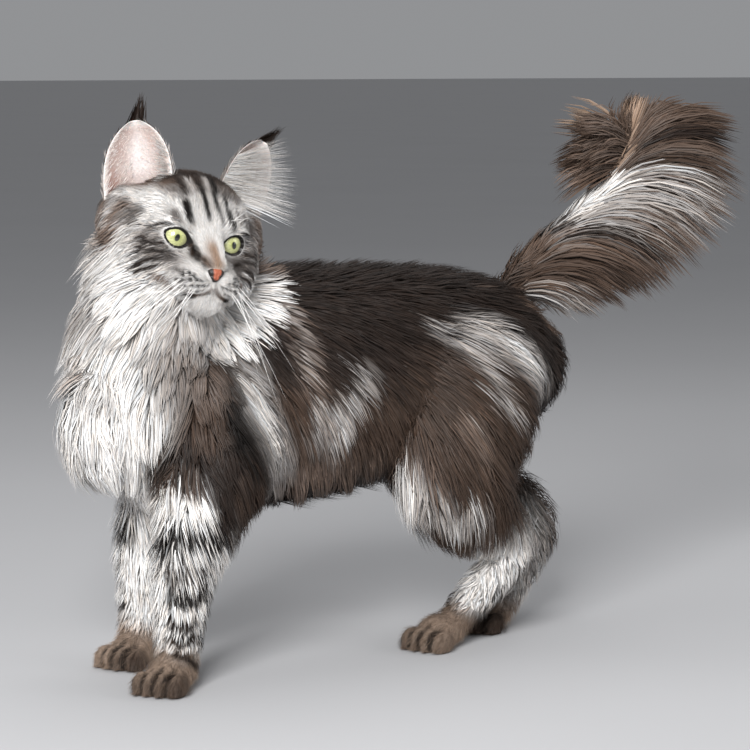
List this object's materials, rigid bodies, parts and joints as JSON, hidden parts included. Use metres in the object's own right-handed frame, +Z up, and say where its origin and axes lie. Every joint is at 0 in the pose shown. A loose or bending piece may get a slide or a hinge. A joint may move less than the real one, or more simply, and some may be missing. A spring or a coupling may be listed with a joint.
{
  "type": "maine coon cat",
  "caption": "Long-haired cat standing in side view, head turned to its left, plumed tail raised; a still life-size model that stands on its paws.",
  "frame": {"origin": "middle of the model's box, on the floor under the cat", "axes": "+Z up, the cat walks towards -X and its left side is -Y"},
  "size_m": [0.7266, 0.2052, 0.4737],
  "materials": {
    "head": "short silver fur with black tabby marks, soft, matt to satin",
    "neck": "long white and silver ruff hair, silky",
    "torso": "long near-black and silver tabby coat, silky, satin",
    "tail_root": "long brown-black plume hair with a silver streak",
    "tail_middle": "long silver and brown plume hair",
    "tail_tip": "long brown plume hair, wispy at the end",
    "ear_left": "thin ear, bare pinkish skin and white hair inside, dark hair outside",
    "eye_left": "wet, clear, yellow-green iris round a black pupil",
    "foreleg_left": "white and silver fur with dark bands",
    "forepaw_left": "short buff-brown fur, dark between the toes",
    "hindleg_left": "long brown and silver fur, silky, with white at the knee",
    "hock_left": "short white and pale fur, dark brown along the back edge",
    "hindpaw_left": "short buff-brown fur, dark between the toes",
    "ear_right": "thin ear, bare pinkish skin and white hair inside, dark hair outside",
    "eye_right": "wet, clear, yellow-green iris round a black pupil",
    "foreleg_right": "white and silver fur with dark bands",
    "forepaw_right": "short buff-brown fur, dark between the toes",
    "hindleg_right": "long brown and silver fur, silky, with white at the knee",
    "hock_right": "short white and pale fur, dark brown along the back edge",
    "hindpaw_right": "short buff-brown fur, dark between the toes",
    "nose": "bare brick-red skin, finely pebbled, slightly moist"
  },
  "bodies": {
    "root": {"head": "head", "neck": "neck", "torso": "torso", "tail_root": "tail_root", "tail_middle": "tail_middle", "tail_tip": "tail_tip", "ear_left": "ear_left", "eye_left": "eye_left", "foreleg_left": "foreleg_left", "forepaw_left": "forepaw_left", "hindleg_left": "hindleg_left", "hock_left": "hock_left", "hindpaw_left": "hindpaw_left", "ear_right": "ear_right", "eye_right": "eye_right", "foreleg_right": "foreleg_right", "forepaw_right": "forepaw_right", "hindleg_right": "hindleg_right", "hock_right": "hock_right", "hindpaw_right": "hindpaw_right", "nose": "nose"}
  },
  "joints": []
}
